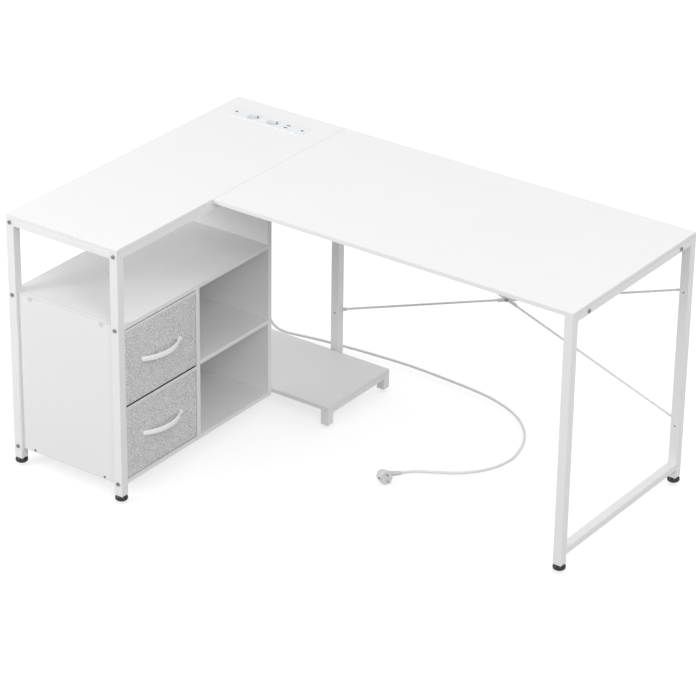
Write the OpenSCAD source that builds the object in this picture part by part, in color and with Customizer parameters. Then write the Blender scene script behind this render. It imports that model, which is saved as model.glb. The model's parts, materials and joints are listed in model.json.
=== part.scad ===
/* [Overall] */
// Length of the desk along its long wing
desk_w = 1500; // [1400:10:1600]
// Depth of the desk along its short wing
desk_d = 1000; // [950:10:1050]
// Height of the worktop above the floor
desk_h = 740; // [720:5:760]
// Width of the short wing
wing_w = 375; // [355:5:395]
// How far the short wing stands out in front of the long wing
wing_out = 400; // [380:5:420]

/* [Boards] */
// Thickness of the worktop boards and the shelves
board_t = 12; // [12:1:15]
// Thickness of the upright boards
upright_t = 16; // [15:1:18]
// Height of the mid shelf's upper face above the floor
shelf_top = 513; // [490:1:520]
// Height of the compartment shelf's upper face above the floor
middle_top = 283; // [270:1:290]
// Height of the cabinet's underside above the floor
cabinet_base = 45; // [40:1:50]
// Distance from the front end to the divider
divider_y = 326; // [310:1:340]
// Distance from the front end to the far panel
far_panel_y = 645; // [630:1:650]

/* [Frame] */
// Width of the square leg tubes
tube = 25; // [25:1:28]
// Height of the rails under the worktop
rail_h = 18; // [18:1:22]
// Wall thickness of the tubes
wall = 1.5; // [1.2:0.1:2]
// Distance from the long wing's edges to the middle of its two rails
rail_inset = 75; // [60:5:100]
// Height of the right frame's bottom bar above the floor
bar_z = 40; // [35:1:60]
// Height of the right frame's bottom bar
bar_h = 20; // [18:1:25]
// Height at which the brace bars meet the legs, low end
brace_low = 172; // [150:1:200]
// Height at which the brace bars meet the legs, high end
brace_high = 570; // [540:1:600]

/* [Drawers] */
// Depth of the drawer boxes behind their fronts
drawer_depth = 316; // [250:2:318]
// Thickness of the drawer fronts
front_t = 11; // [8:1:14]
// Thickness of the drawer box's stiffened cloth walls
cloth_t = 4; // [3:0.5:5]
// Distance between the ends of a drawer handle
handle_span = 164; // [140:2:180]
// How far a drawer handle bows out
handle_out = 29; // [24:1:34]

/* [Feet] */
// Height of a levelling foot under its leg
foot_h = 15; // [12:1:20]
// Diameter of a levelling foot
foot_d = 35; // [30:1:38]

/* [Floor stand] */
// Height of the floor stand's board above the floor
stand_h = 57; // [50:1:60]
// Length of the floor stand
stand_w = 550; // [450:10:560]
// Depth of the floor stand
stand_d = 295; // [250:5:295]

/* [Power] */
// Length of the power strip's cover
strip_w = 252; // [248:2:260]
// Width of the power strip's cover
strip_d = 56; // [54:1:60]
// Depth of the power strip's housing under the worktop's upper face
strip_drop = 52; // [50:1:56]
// Diameter of the mains cord
cord_d = 7.5; // [7:0.5:8]

/* [Hidden] */

// A hair of overlap so that cuts run past a face
eps = 0.5;
// Smoothness of round parts
$fn = 48;

// Frame bolt: head, shank and the key socket in the head
bolt_r = 3;
bolt_head_r = 5.5;
bolt_head_h = 3;
bolt_key_af = 4;
bolt_key_depth = 1.8;
bolt_reach = tube + 18;
// Long bolts that hold the cabinet's boards between the legs
board_bolt_r = 2.5;
board_bolt_reach = tube + 38;
// Solid block welded into each rail's end
rail_plug = 22;

// Brace rods are pressed flat at the crossing and at both ends
brace_r = 3;
brace_flat_t = 3;
brace_flat_h = 10;
brace_flat_end = 30;
brace_flat_mid = 64;
brace_bolt_head = 3;
// Length by which a round part of a rod runs into its flat parts
brace_blend = 8;
// How far the brace reaches past the boards at the back, and the feet at the front
rear_proud = brace_flat_t * 2 + brace_bolt_head;
front_proud = (foot_d - tube) / 2;

// The origin is on the floor, under the middle of the desk's box
origin_x = desk_w / 2;
origin_y = (desk_d + rear_proud - front_proud) / 2;

top_z = desk_h - board_t;
rail_z = top_z - rail_h;
leg_h = top_z - foot_h;
bolt_z = rail_z + rail_h / 2;
inner_x = wing_w - tube;
right_x = desk_w - tube;
back_y = desk_d - tube;
long_front_y = wing_out + rail_inset;
long_back_y = desk_d - rail_inset;
shelf_z = shelf_top - board_t;
middle_z = middle_top - board_t;
base_top = cabinet_base + board_t;
// The cabinet's boards stand back from the leg faces and its back panel closes them
cabinet_front = wing_w - 2;
back_t = 3;
panel_y = tube - upright_t;
shelf_bolt_z = shelf_z + board_t / 2;
base_bolt_z = cabinet_base + board_t / 2;

// Screws that hold the end panel and the far panel to the boards
panel_screw_r = 2;
panel_screw_head_r = 4;
panel_screw_l = 46;
panel_screw_inset = 41;
panel_screw_xs = [tube + panel_screw_inset, inner_x - panel_screw_inset];
cap_r = 6.5;
cap_t = 1;

// Drawers: gaps round the fronts, and the boxes' clearances
front_gap = 2.5;
box_gap = 5;
box_lift = 0.3;
stop_gap = 0.3;
front_x = cabinet_front - front_t;
upper_front_z = 276;
lower_front_z = 60;
front_h_upper = shelf_z - front_gap - upper_front_z;
front_h_lower = 212;
drawer_mid_y = (tube + divider_y) / 2;
box_w = divider_y - tube - 2 * box_gap;
box_h = 202;
box_floor_t = 5;
handle_h = 14;
handle_t = 5;
handle_foot = 13;
handle_foot_t = 7;
handle_screw_r = 2;
handle_screw_depth = handle_foot_t - 1;
handle_ys = [drawer_mid_y - (handle_span - handle_foot) / 2, drawer_mid_y + (handle_span - handle_foot) / 2];
upper_handle_z = upper_front_z + front_h_upper / 2;
lower_handle_z = lower_front_z + front_h_lower / 2;

stand_x = 12;
stand_y = 672;
stand_rail_h = 12;

foot_neck_d = 28;
foot_rim = 3;
foot_stud_r = 4;
foot_stud_h = 30;
stud_gap = 0.05;
insert_h = 22;
leg_spots = [[0, 0], [inner_x, 0], [0, back_y], [inner_x, back_y], [right_x, wing_out], [right_x, back_y]];

// Power strip: where it sits, its sockets and its two charging ports
strip_x = 181;
strip_y = 905;
plate_t = 2;
plate_r = 14;
housing_w = strip_w - 14;
housing_d = strip_d - 8;
housing_t = 2;
socket_x = [127, 194];
socket_r = 19.75;
socket_depth = 17.5;
socket_side = 42;
pin_pitch = 19;
pin_hole_r = 2.6;
port_x = 243;
port_pitch = 16;
port_w = 13.2;
port_d = 5.6;
port_depth = 19;
port_wall = 2;
port_block_w = port_w + 2 * port_wall;
port_block_d = 2 * port_pitch;
strip_screw_x = 114;
strip_screw_r = 1.75;
strip_screw_l = 14;
strip_head_h = 1.4;
slot_l = 4;
slot_w = 0.8;
screw_post = 9;
contact_r = 4;
contact_h = 18;
clip_w = 4;
clip_t = 1.2;
clip_h = 14;
clip_inset = 0.9;
gland_x = 85;
gland_z = desk_h - 40;
gland_bore_r = 5;
gland_collar_r = 9;
gland_collar_h = 4;
gland_l = 24;
gland_r = 6.5;
gland_tip_r = 4.6;

// The mains cord's route from the gland, down behind the desk and over the floor to the plug
cord_points = [[85, 956, 700], [85, 968, 700], [85, 981, 700], [85, 996, 697], [85, 1009, 688],
    [85, 1018, 674], [85, 1021, 655], [85, 1022, 600], [84, 1023, 510], [82, 1026, 410],
    [80, 1029, 310], [77, 1033, 210], [74, 1037, 130], [73, 1041, 78], [79, 1045, 42],
    [97, 1050, 17], [126, 1057, 6], [174, 1068, 4], [230, 1078, 4], [290, 1086, 4],
    [350, 1092, 4], [410, 1097, 4], [490, 1102, 4], [566, 1103, 4], [630, 1100, 4],
    [690, 1096, 4], [752, 1091, 4], [812, 1083, 4], [862, 1071, 4], [908, 1054, 4],
    [950, 1032, 4], [988, 1003, 4], [1020, 969, 4], [1046, 929, 4], [1066, 880, 4],
    [1078, 820, 4], [1068, 757, 4], [1042, 706, 4], [1000, 662, 4], [950, 628, 5],
    [912, 597, 8.5], [887, 562, 11.2]];
cord_sides = 8;
cord_steps = 2;

// The round plug lies on its tapered side with its pins level, and its relief leaves sideways
plug_face = [881, 502, 20.6];
plug_turn = -24;
plug_tilt = 8;
plug_r = 20;
plug_rim = 5;
plug_back_r = 16;
plug_shoulder = 0.5;
plug_l = 30;
pin_r = 2.4;
pin_l = 19;
relief_from = [-20, 8, 2];
relief_drop = 10;
relief_l = 50;
relief_r = 8;
relief_tip_r = 5;

// A smooth curve through points, with steps pieces in each span
function span_point(p, i, t) =
    let (a = p[max(i - 1, 0)], b = p[i], c = p[i + 1], d = p[min(i + 2, len(p) - 1)])
    (2 * b + (c - a) * t + (2 * a - 5 * b + 4 * c - d) * pow(t, 2)
        + (3 * b - a - 3 * c + d) * pow(t, 3)) / 2;
function smooth(p, steps) = concat(
    [for (i = [0 : len(p) - 2], k = [0 : steps - 1]) span_point(p, i, k / steps)],
    [p[len(p) - 1]]);
function unit(v) = v / norm(v);
function heading(p, i) = unit(p[min(i + 1, len(p) - 1)] - p[max(i - 1, 0)]);
function square_to(v, axis) = unit(v - axis * (v * axis));

// A round tube swept along a path, closed at both ends
module tube_along(path, radius, sides) {
    rings = len(path);
    normals = [for (i = 0, v = [0, 0, 1]; i < rings;
        i = i + 1, v = square_to(v, heading(path, min(i, rings - 1)))) square_to(v, heading(path, i))];
    points = [for (i = [0 : rings - 1], k = [0 : sides - 1])
        let (turn = 360 * k / sides, side = cross(heading(path, i), normals[i]))
        path[i] + radius * (cos(turn) * normals[i] + sin(turn) * side)];
    walls = [for (i = [0 : rings - 2], k = [0 : sides - 1], half = [0, 1])
        let (a = i * sides + k, b = i * sides + (k + 1) % sides)
        half == 0 ? [a, a + sides, b] : [b, a + sides, b + sides]];
    start = [[for (k = [0 : sides - 1]) k]];
    end = [[for (k = [0 : sides - 1]) rings * sides - 1 - k]];
    polyhedron(points, concat(walls, start, end));
}

module placed() {
    translate([-origin_x, -origin_y, 0]) children();
}

// Cylinders along X and Y, starting at a point
module along_x(point, radius, length) {
    translate(point) rotate([0, 90, 0]) cylinder(r = radius, h = length);
}
module along_y(point, radius, length) {
    translate(point) rotate([-90, 0, 0]) cylinder(r = radius, h = length);
}

// Hollow square tube standing up, open at both ends
module upright_tube(x, y, z, height) {
    translate([x, y, z]) difference() {
        cube([tube, tube, height]);
        translate([wall, wall, -eps]) cube([tube - 2 * wall, tube - 2 * wall, height + 2 * eps]);
    }
}

// Hollow tube lying along X or Y, with a welded block in each end
module rail_along_x(x, y, z, length, height) {
    translate([x, y, z]) difference() {
        cube([length, tube, height]);
        translate([rail_plug, wall, wall])
            cube([length - 2 * rail_plug, tube - 2 * wall, height - 2 * wall]);
    }
}
module rail_along_y(x, y, z, length, height) {
    translate([x, y, z]) difference() {
        cube([tube, length, height]);
        translate([wall, rail_plug, wall])
            cube([tube - 2 * wall, length - 2 * rail_plug, height - 2 * wall]);
    }
}

// Socket-head bolt; its head's flat underside is at the origin and it runs along -Z
module bolt(radius, reach) {
    translate([0, 0, -reach]) cylinder(r = radius, h = reach + eps);
    difference() {
        cylinder(r = bolt_head_r, h = bolt_head_h);
        translate([0, 0, bolt_head_h - bolt_key_depth])
            cylinder(r = bolt_key_af / sqrt(3), h = bolt_key_depth + eps, $fn = 6);
    }
}
module bolt_from_front(x, z, radius, reach) {
    translate([x, 0, z]) rotate([90, 0, 0]) bolt(radius, reach);
}
module bolt_from_back(x, z, radius, reach) {
    translate([x, desk_d, z]) rotate([-90, 0, 0]) bolt(radius, reach);
}

/* Worktop */
module short_top() {
    color([0.95, 0.95, 0.95]) placed() difference() {
        translate([0, 0, top_z]) cube([wing_w, desk_d, board_t]);
        translate([strip_x - housing_w / 2 - eps, strip_y - housing_d / 2 - eps, top_z - eps])
            cube([housing_w + 2 * eps, housing_d + 2 * eps, board_t + 2 * eps]);
    }
}
module long_top() {
    color([0.95, 0.95, 0.95]) placed()
        translate([wing_w, wing_out, top_z]) cube([desk_w - wing_w, desk_d - wing_out, board_t]);
}

/* Legs */
module front_leg(x) {
    color([0.93, 0.93, 0.93]) placed() difference() {
        upright_tube(x, 0, foot_h, leg_h);
        along_y([x + tube / 2, -eps, bolt_z], bolt_r, tube + 2 * eps);
        for (z = [shelf_bolt_z, base_bolt_z])
            along_y([x + tube / 2, -eps, z], board_bolt_r, tube + 2 * eps);
    }
}
module back_leg(x, brace_zs) {
    color([0.93, 0.93, 0.93]) placed() difference() {
        upright_tube(x, back_y, foot_h, leg_h);
        along_y([x + tube / 2, back_y - eps, bolt_z], bolt_r, tube + 2 * eps);
        for (z = brace_zs)
            along_y([x + tube / 2, back_y - eps, z], bolt_r, tube + 2 * eps);
    }
}
module leg_front_left() { front_leg(0); }
module leg_front_inner() { front_leg(inner_x); }
module leg_back_left() { back_leg(0, []); }
module leg_back_inner() { back_leg(inner_x, [brace_low, brace_high]); }
module leg_right_front() {
    color([0.93, 0.93, 0.93]) placed() upright_tube(right_x, wing_out, foot_h, leg_h);
}
module leg_right_back() {
    color([0.93, 0.93, 0.93]) placed() difference() {
        upright_tube(right_x, back_y, foot_h, leg_h);
        for (z = [brace_low, brace_high])
            along_y([right_x + tube / 2, back_y - eps, z], bolt_r, tube + 2 * eps);
    }
}

/* Rails */
module front_end_rail() {
    color([0.93, 0.93, 0.93]) placed()
        rail_along_x(tube, 0, rail_z, inner_x - tube, rail_h);
}
module back_end_rail() {
    color([0.93, 0.93, 0.93]) placed()
        rail_along_x(tube, back_y, rail_z, inner_x - tube, rail_h);
}
module side_rail(x) {
    difference() {
        rail_along_y(x, tube, rail_z, desk_d - 2 * tube, rail_h);
        along_y([x + tube / 2, tube - eps, bolt_z], bolt_r, bolt_reach - tube + eps);
        along_y([x + tube / 2, desk_d - bolt_reach, bolt_z], bolt_r, bolt_reach - tube + eps);
    }
}
module outer_side_rail() {
    color([0.93, 0.93, 0.93]) placed() side_rail(0);
}
module inner_side_rail() {
    color([0.93, 0.93, 0.93]) placed() difference() {
        side_rail(inner_x);
        for (y = [long_front_y, long_back_y])
            along_x([inner_x - eps, y, bolt_z], bolt_r, tube + 2 * eps);
    }
}
module long_rail(y) {
    color([0.93, 0.93, 0.93]) placed() difference() {
        rail_along_x(wing_w, y - tube / 2, rail_z, right_x - wing_w, rail_h);
        along_x([wing_w - eps, y, bolt_z], bolt_r, bolt_reach - tube + eps);
        along_x([desk_w - bolt_reach, y, bolt_z], bolt_r, bolt_reach - tube + eps);
    }
}
module long_front_rail() { long_rail(long_front_y); }
module long_back_rail() { long_rail(long_back_y); }
module right_end_rail() {
    color([0.93, 0.93, 0.93]) placed() difference() {
        rail_along_y(right_x, wing_out + tube, rail_z, back_y - wing_out - tube, rail_h);
        for (y = [long_front_y, long_back_y])
            along_x([right_x - eps, y, bolt_z], bolt_r, tube + 2 * eps);
    }
}
module right_bottom_bar() {
    color([0.93, 0.93, 0.93]) placed()
        rail_along_y(right_x, wing_out + tube, bar_z, back_y - wing_out - tube, bar_h);
}

/* Frame bolts */
module frame_bolts() {
    color([0.25, 0.25, 0.27]) placed() {
        for (x = [tube / 2, inner_x + tube / 2]) {
            bolt_from_front(x, bolt_z, bolt_r, bolt_reach);
            bolt_from_front(x, shelf_bolt_z, board_bolt_r, board_bolt_reach);
            bolt_from_front(x, base_bolt_z, board_bolt_r, board_bolt_reach);
            bolt_from_back(x, bolt_z, bolt_r, bolt_reach);
        }
        for (y = [long_front_y, long_back_y]) {
            translate([desk_w, y, bolt_z]) rotate([0, 90, 0]) bolt(bolt_r, bolt_reach);
            translate([inner_x, y, bolt_z]) rotate([0, -90, 0]) bolt(bolt_r, bolt_reach);
        }
    }
}

/* Crossed brace behind the long wing */
brace_from = inner_x + tube / 2;
brace_to = right_x + tube / 2;
brace_run = brace_to - brace_from;
brace_rise = brace_high - brace_low;
brace_l = norm([brace_run, brace_rise]);
brace_slope = atan2(brace_rise, brace_run);

// One rod along the legs' back faces; lift moves its flat middle off the other rod's
module brace_rod(slope, start_z, lift) {
    flat_x = brace_flat_end - brace_flat_h / 2;
    round_l = (brace_l - brace_flat_mid) / 2 - flat_x + 2 * brace_blend;
    translate([brace_from, desk_d, start_z]) rotate([0, -slope, 0]) difference() {
        union() {
            for (x = [-brace_flat_h / 2, brace_l + brace_flat_h / 2 - brace_flat_end])
                translate([x, 0, -brace_flat_h / 2])
                    cube([brace_flat_end, brace_flat_t, brace_flat_h]);
            translate([(brace_l - brace_flat_mid) / 2, lift, -brace_flat_h / 2])
                cube([brace_flat_mid, brace_flat_t, brace_flat_h]);
            for (x = [flat_x, (brace_l + brace_flat_mid) / 2])
                along_x([x - brace_blend, brace_flat_t, 0], brace_r, round_l);
        }
        for (x = [0, brace_l / 2, brace_l])
            along_y([x, -eps, 0], bolt_r, 2 * brace_flat_t + 2 * eps);
    }
}
module brace_rising() {
    color([0.9, 0.9, 0.9]) placed() brace_rod(brace_slope, brace_low, 0);
}
module brace_falling() {
    color([0.9, 0.9, 0.9]) placed() brace_rod(-brace_slope, brace_high, brace_flat_t);
}
module brace_bolts() {
    color([0.3, 0.3, 0.32]) placed() {
        for (x = [brace_from, brace_to], z = [brace_low, brace_high])
            translate([x, desk_d + brace_flat_t, z]) rotate([-90, 0, 0])
                bolt(bolt_r, tube + brace_flat_t);
        translate([(brace_from + brace_to) / 2, desk_d, (brace_low + brace_high) / 2]) {
            rotate([90, 0, 0]) bolt(bolt_r, 2 * brace_flat_t + brace_bolt_head);
            translate([0, 2 * brace_flat_t, 0]) rotate([-90, 0, 0])
                cylinder(r = bolt_head_r, h = brace_bolt_head, $fn = 6);
        }
    }
}

/* Cabinet boards */
module board_cuts(x_list, z_list, y, length, radius) {
    for (x = x_list, z = z_list) along_y([x, y, z], radius, length);
}
module end_panel() {
    color([0.95, 0.95, 0.95]) placed() difference() {
        translate([tube, panel_y, cabinet_base])
            cube([inner_x - tube, upright_t, shelf_top - cabinet_base]);
        board_cuts(panel_screw_xs, [shelf_bolt_z, base_bolt_z], panel_y - eps,
            upright_t + 2 * eps, panel_screw_r);
    }
}
module far_panel() {
    color([0.95, 0.95, 0.95]) placed() difference() {
        translate([back_t, far_panel_y, cabinet_base])
            cube([cabinet_front - back_t, upright_t, rail_z - cabinet_base]);
        board_cuts(panel_screw_xs, [shelf_bolt_z, base_bolt_z], far_panel_y - eps,
            upright_t + 2 * eps, panel_screw_r);
    }
}
module divider() {
    color([0.95, 0.95, 0.95]) placed() translate([back_t, divider_y, base_top])
        cube([cabinet_front - back_t, upright_t, shelf_z - base_top]);
}
module long_board(z) {
    color([0.95, 0.95, 0.95]) placed() difference() {
        translate([back_t, tube, z])
            cube([cabinet_front - back_t, far_panel_y - tube, board_t]);
        board_cuts([tube / 2, inner_x + tube / 2], [z + board_t / 2], tube - eps,
            board_bolt_reach - tube + eps, board_bolt_r);
        board_cuts(panel_screw_xs, [z + board_t / 2], tube - eps,
            panel_screw_l - upright_t + eps, panel_screw_r);
        board_cuts(panel_screw_xs, [z + board_t / 2], far_panel_y + upright_t - panel_screw_l,
            panel_screw_l - upright_t + eps, panel_screw_r);
    }
}
module bottom_board() { long_board(cabinet_base); }
module mid_shelf() { long_board(shelf_z); }
module compartment_shelf() {
    color([0.95, 0.95, 0.95]) placed() translate([back_t, divider_y + upright_t, middle_z])
        cube([cabinet_front - back_t, far_panel_y - divider_y - upright_t, board_t]);
}
module drawer_shelf() {
    color([0.95, 0.95, 0.95]) placed() translate([back_t, tube, middle_z])
        cube([front_x - stop_gap - back_t, divider_y - tube, board_t]);
}
module back_panel() {
    color([0.9, 0.9, 0.9]) placed() translate([0, tube, cabinet_base])
        cube([back_t, far_panel_y + upright_t - tube, shelf_top - cabinet_base]);
}

// Pan-head screws through the end panel and the far panel
module panel_screw(y, turn, x, z) {
    translate([x, y, z]) rotate([turn, 0, 0]) {
        translate([0, 0, -panel_screw_l]) cylinder(r = panel_screw_r, h = panel_screw_l);
        cylinder(r = panel_screw_head_r, h = cap_t);
    }
}
module panel_screws() {
    color([0.2, 0.2, 0.22]) placed() {
        for (x = panel_screw_xs, z = [shelf_bolt_z, base_bolt_z]) {
            panel_screw(panel_y, 90, x, z);
            panel_screw(far_panel_y + upright_t, -90, x, z);
        }
    }
}
module panel_caps() {
    color([0.85, 0.85, 0.83]) placed() for (x = panel_screw_xs) difference() {
        along_y([x, panel_y - 2 * cap_t, shelf_bolt_z], cap_r, 2 * cap_t);
        along_y([x, panel_y - cap_t, shelf_bolt_z], panel_screw_head_r, cap_t + eps);
    }
}

/* Drawers */
module drawer_box(floor_z, grip_z) {
    color([0.8, 0.8, 0.81]) placed() difference() {
        translate([front_x - drawer_depth, tube + box_gap, floor_z]) difference() {
            cube([drawer_depth, box_w, box_h]);
            translate([cloth_t, cloth_t, box_floor_t])
                cube([drawer_depth - 2 * cloth_t, box_w - 2 * cloth_t, box_h]);
        }
        handle_holes(grip_z, front_x - cloth_t - eps, cloth_t + 2 * eps);
    }
}
module handle_holes(z, x, length) {
    for (y = handle_ys) along_x([x, y, z], handle_screw_r, length);
}
module drawer_front(z, height) {
    color([0.8, 0.8, 0.81]) placed() difference() {
        translate([front_x, tube + front_gap, z])
            cube([front_t, divider_y - tube - 2 * front_gap, height]);
        handle_holes(z + height / 2, front_x - eps, front_t + 2 * eps);
    }
}
// Bowed strap on two feet; the screws from inside the drawer end in the feet
module drawer_handle(z) {
    half = handle_span / 2;
    bow = (half * half + handle_out * handle_out) / (2 * handle_out);
    color("white") placed() translate([cabinet_front, drawer_mid_y, z - handle_h / 2]) difference() {
        union() {
            intersection() {
                translate([handle_out - bow, 0, 0]) difference() {
                    cylinder(r = bow, h = handle_h, $fn = 96);
                    translate([0, 0, -eps])
                        cylinder(r = bow - handle_t, h = handle_h + 2 * eps, $fn = 96);
                }
                translate([0, -half, 0]) cube([handle_out, handle_span, handle_h]);
            }
            for (y = [-half, half - handle_foot])
                translate([0, y, 0]) cube([handle_foot_t, handle_foot, handle_h]);
        }
        for (y = [-half + handle_foot / 2, half - handle_foot / 2])
            along_x([-eps, y, handle_h / 2], handle_screw_r, handle_screw_depth + eps);
    }
}
module handle_screws(z) {
    color([0.75, 0.75, 0.75]) placed() for (y = handle_ys) {
        along_x([front_x - cloth_t, y, z], handle_screw_r, cloth_t + front_t + handle_screw_depth);
        along_x([front_x - cloth_t - 2, y, z], 2 * handle_screw_r, 2);
    }
}
module upper_drawer_box() { drawer_box(middle_top + box_lift, upper_handle_z); }
module upper_drawer_front() { drawer_front(upper_front_z, front_h_upper); }
module upper_drawer_handle() { drawer_handle(upper_handle_z); }
module upper_handle_screws() { handle_screws(upper_handle_z); }
module lower_drawer_box() { drawer_box(base_top + box_lift, lower_handle_z); }
module lower_drawer_front() { drawer_front(lower_front_z, front_h_lower); }
module lower_drawer_handle() { drawer_handle(lower_handle_z); }
module lower_handle_screws() { handle_screws(lower_handle_z); }

/* Floor stand for a computer case */
module stand_board() {
    color([0.95, 0.95, 0.95]) placed() translate([stand_x, stand_y, stand_h - board_t])
        cube([stand_w, stand_d, board_t]);
}
module stand_leg(x, y) {
    color([0.93, 0.93, 0.93]) placed() upright_tube(x, y, 0, stand_h - board_t);
}
module stand_rail(x) {
    color([0.93, 0.93, 0.93]) placed()
        rail_along_y(x, stand_y + tube, stand_h - board_t - stand_rail_h, stand_d - 2 * tube, stand_rail_h);
}
module stand_right_front_leg() { stand_leg(stand_x + stand_w - tube, stand_y); }
module stand_right_back_leg() { stand_leg(stand_x + stand_w - tube, stand_y + stand_d - tube); }
module stand_right_rail() { stand_rail(stand_x + stand_w - tube); }
module stand_left_front_leg() { stand_leg(stand_x, stand_y); }
module stand_left_back_leg() { stand_leg(stand_x, stand_y + stand_d - tube); }
module stand_left_rail() { stand_rail(stand_x); }

/* Levelling feet and the threaded inserts that they screw into */
module foot(x, y) {
    color([0.1, 0.1, 0.1]) placed() translate([x + tube / 2, y + tube / 2, 0]) {
        rotate_extrude() polygon([[0, 0], [foot_d / 2 - foot_rim, 0], [foot_d / 2, foot_rim],
            [foot_d / 2, foot_h - 2 * foot_rim], [foot_neck_d / 2, foot_h], [0, foot_h]]);
        translate([0, 0, foot_h - eps]) cylinder(r = foot_stud_r, h = foot_stud_h + eps);
    }
}
module foot_front_left() { foot(0, 0); }
module foot_front_inner() { foot(inner_x, 0); }
module foot_back_left() { foot(0, back_y); }
module foot_back_inner() { foot(inner_x, back_y); }
module foot_right_front() { foot(right_x, wing_out); }
module foot_right_back() { foot(right_x, back_y); }
module leg_inserts() {
    color([0.15, 0.15, 0.15]) placed() for (spot = leg_spots)
        translate([spot[0] + wall, spot[1] + wall, foot_h]) difference() {
            cube([tube - 2 * wall, tube - 2 * wall, insert_h]);
            translate([tube / 2 - wall, tube / 2 - wall, -eps])
                cylinder(r = foot_stud_r + stud_gap, h = insert_h + 2 * eps);
        }
}

/* Power strip let into the short wing's top */
module rounded_plate(width, depth, corner, height) {
    translate([-width / 2, corner - depth / 2, 0]) cube([width, depth - 2 * corner, height]);
    translate([corner - width / 2, -depth / 2, 0]) cube([width - 2 * corner, depth, height]);
    for (x = [corner - width / 2, width / 2 - corner], y = [corner - depth / 2, depth / 2 - corner])
        translate([x, y, 0]) cylinder(r = corner, h = height);
}
module strip_cover() {
    color([0.9, 0.93, 0.96]) placed() translate([strip_x, strip_y, desk_h]) difference() {
        rounded_plate(strip_w, strip_d, plate_r, plate_t);
        for (x = socket_x) translate([x - strip_x, 0, 0])
            cube([socket_side, socket_side, 2 * plate_t + 2 * eps], center = true);
        translate([port_x - strip_x, 0, 0])
            cube([port_block_w, port_block_d, 2 * plate_t + 2 * eps], center = true);
        for (x = [-strip_screw_x, strip_screw_x])
            translate([x, 0, -eps]) cylinder(r = strip_screw_r, h = plate_t + 2 * eps);
    }
}
module socket_block(x) {
    color([0.9, 0.93, 0.96]) placed() translate([x, strip_y, desk_h + plate_t - socket_depth])
        difference() {
            translate([-socket_side / 2, -socket_side / 2, -housing_t])
                cube([socket_side, socket_side, socket_depth + housing_t]);
            cylinder(r = socket_r, h = socket_depth + eps);
            for (pin_x = [-pin_pitch / 2, pin_pitch / 2]) translate([pin_x, 0, -housing_t - eps])
                cylinder(r = pin_hole_r, h = housing_t + 2 * eps);
        }
}
module left_socket() { socket_block(socket_x[0]); }
module right_socket() { socket_block(socket_x[1]); }
module charging_ports() {
    color([0.9, 0.93, 0.96]) placed() translate([port_x, strip_y, desk_h + plate_t - port_depth])
        difference() {
            translate([-port_block_w / 2, -port_block_d / 2, 0])
                cube([port_block_w, port_block_d, port_depth]);
            for (y = [-port_pitch / 2, port_pitch / 2])
                translate([-port_w / 2, y - port_d / 2, port_wall]) cube([port_w, port_d, port_depth]);
        }
}
module strip_housing() {
    color([0.9, 0.92, 0.94]) placed()
        translate([strip_x - housing_w / 2, strip_y - housing_d / 2, desk_h - strip_drop]) difference() {
            cube([housing_w, housing_d, strip_drop]);
            translate([screw_post, housing_t, housing_t])
                cube([housing_w - 2 * screw_post, housing_d - 2 * housing_t, strip_drop]);
            for (x = [housing_w / 2 - strip_screw_x, housing_w / 2 + strip_screw_x])
                translate([x, housing_d / 2, strip_drop - strip_screw_l])
                    cylinder(r = strip_screw_r, h = strip_screw_l + eps);
            along_y([gland_x - strip_x + housing_w / 2, housing_d - housing_t - eps,
                gland_z - desk_h + strip_drop], gland_bore_r, housing_t + 2 * eps);
        }
}
module strip_contacts() {
    color([0.8, 0.7, 0.4]) placed() for (x = socket_x)
        translate([x, strip_y, desk_h + plate_t - socket_depth]) {
            for (pin_x = [-pin_pitch / 2, pin_pitch / 2])
                translate([pin_x, 0, -housing_t - contact_h]) difference() {
                    cylinder(r = contact_r, h = contact_h);
                    translate([0, 0, housing_t]) cylinder(r = pin_r, h = contact_h);
                }
            for (side = [-1, 1])
                translate([-clip_w / 2, side * (socket_r - clip_inset) - clip_t / 2, 0])
                    cube([clip_w, clip_t, clip_h]);
        }
}
module strip_screws() {
    color([0.3, 0.3, 0.32]) placed() for (x = [-strip_screw_x, strip_screw_x])
        translate([strip_x + x, strip_y, desk_h + plate_t]) {
            translate([0, 0, -strip_screw_l]) cylinder(r = strip_screw_r, h = strip_screw_l);
            difference() {
                cylinder(r = 2 * strip_screw_r, h = strip_head_h);
                for (turn = [0, 90]) rotate([0, 0, turn]) translate([-slot_l / 2, -slot_w / 2, slot_w])
                    cube([slot_l, slot_w, strip_head_h]);
            }
        }
}
module strip_gland() {
    color([0.93, 0.93, 0.93]) placed()
        translate([gland_x, strip_y + housing_d / 2 - housing_t, gland_z]) rotate([-90, 0, 0]) {
            cylinder(r = gland_bore_r, h = housing_t);
            translate([0, 0, housing_t]) cylinder(r = gland_collar_r, h = gland_collar_h);
            translate([0, 0, housing_t + gland_collar_h])
                cylinder(r1 = gland_r, r2 = gland_tip_r, h = gland_l);
        }
}

/* Mains cord and its plug */
module cord() {
    color([0.93, 0.93, 0.93]) placed()
        tube_along(smooth(cord_points, cord_steps), cord_d / 2, cord_sides);
}
module plug_placed() {
    placed() translate(plug_face) rotate([0, -plug_tilt, plug_turn]) children();
}
module plug_body() {
    color([0.94, 0.94, 0.94]) plug_placed() {
        along_x([-plug_rim, 0, 0], plug_r, plug_rim);
        rotate([0, -90, 0]) translate([0, 0, plug_rim])
            cylinder(r1 = plug_r - plug_shoulder, r2 = plug_back_r, h = plug_l - plug_rim);
        translate(relief_from) rotate([-90 - relief_drop, 0, 0])
            cylinder(r1 = relief_r, r2 = relief_tip_r, h = relief_l);
    }
}
module plug_pins() {
    color([0.7, 0.7, 0.72]) plug_placed()
        for (z = [-pin_pitch / 2, pin_pitch / 2]) along_x([0, 0, z], pin_r, pin_l);
}

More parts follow.
